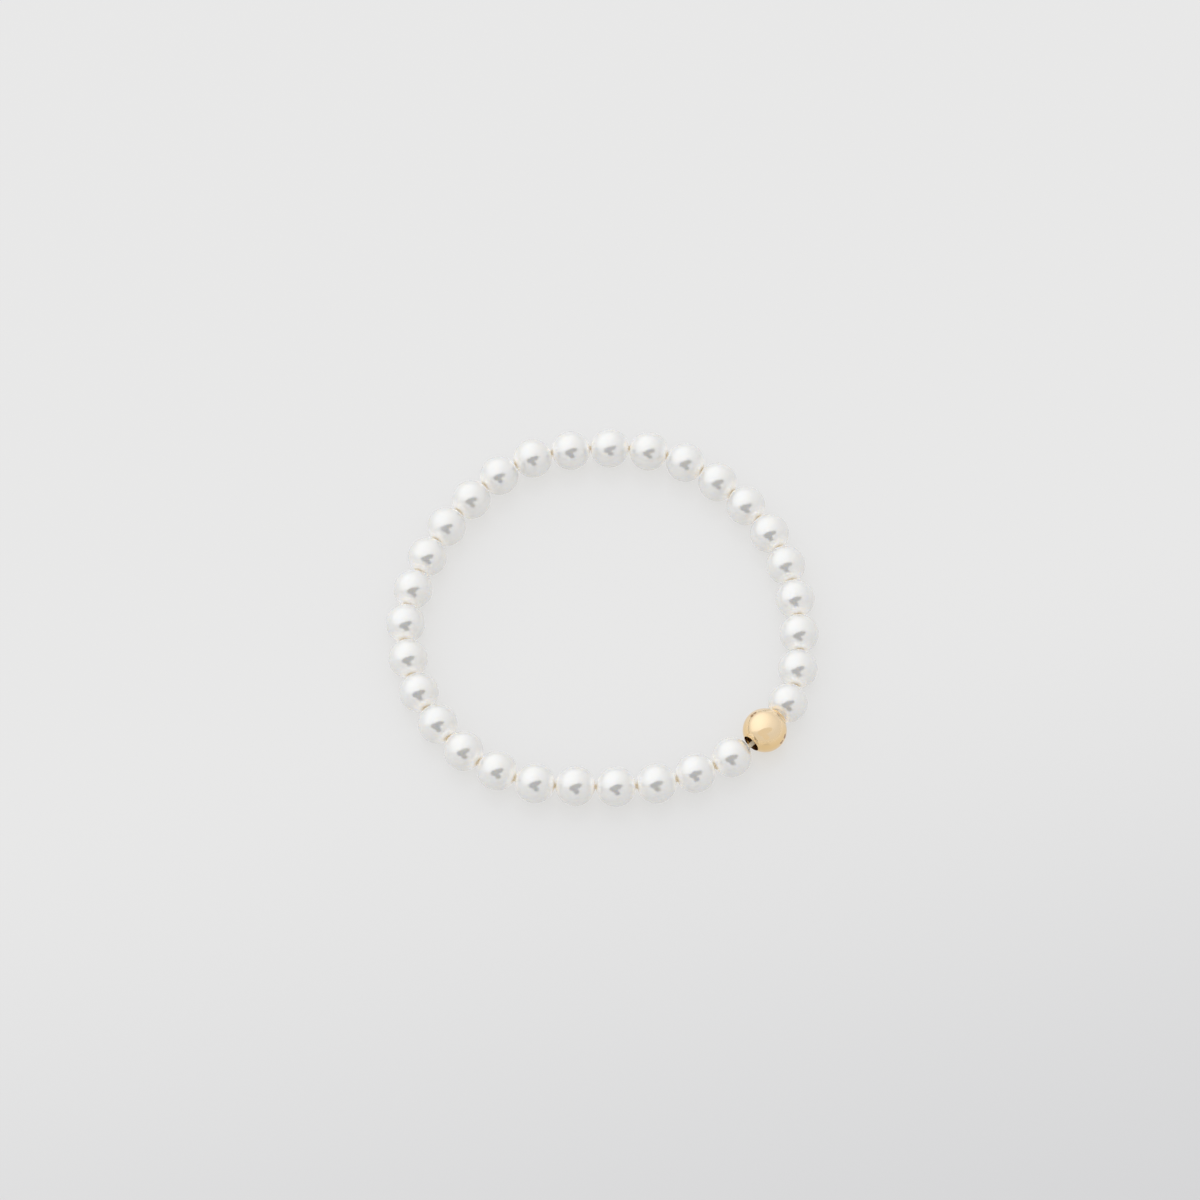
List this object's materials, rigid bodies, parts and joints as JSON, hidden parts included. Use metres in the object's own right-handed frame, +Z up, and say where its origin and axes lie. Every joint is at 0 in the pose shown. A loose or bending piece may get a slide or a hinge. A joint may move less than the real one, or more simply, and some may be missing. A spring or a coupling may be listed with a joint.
{
  "type": "pearl bracelet",
  "caption": "Stretch bracelet of round white pearls with a slightly larger polished gold bead, strung on clear elastic.",
  "frame": {"origin": "on the surface that the bracelet lies on, under the middle of its outline seen from above", "axes": "+Z up through the loop, +X to the right and +Y away from the viewer of the picture; the gold bead lies towards +X -Y"},
  "size_m": [0.0662, 0.065, 0.0067],
  "materials": {
    "pearl": "white pearl lustre, glossy over a soft glow",
    "gold": "mirror polished pale gold",
    "elastic": "clear elastic, slightly dulled"
  },
  "bodies": {
    "root": {"gold_bead": "gold", "pearl_01": "pearl", "pearl_02": "pearl", "pearl_03": "pearl", "pearl_04": "pearl", "pearl_05": "pearl", "pearl_06": "pearl", "pearl_07": "pearl", "pearl_08": "pearl", "pearl_09": "pearl", "pearl_10": "pearl", "pearl_11": "pearl", "pearl_12": "pearl", "pearl_13": "pearl", "pearl_14": "pearl", "pearl_15": "pearl", "pearl_16": "pearl", "pearl_17": "pearl", "pearl_18": "pearl", "pearl_19": "pearl", "pearl_20": "pearl", "pearl_21": "pearl", "pearl_22": "pearl", "pearl_23": "pearl", "pearl_24": "pearl", "pearl_25": "pearl", "pearl_26": "pearl", "pearl_27": "pearl", "pearl_28": "pearl", "pearl_29": "pearl", "pearl_30": "pearl", "elastic_cord": "elastic"}
  },
  "joints": []
}
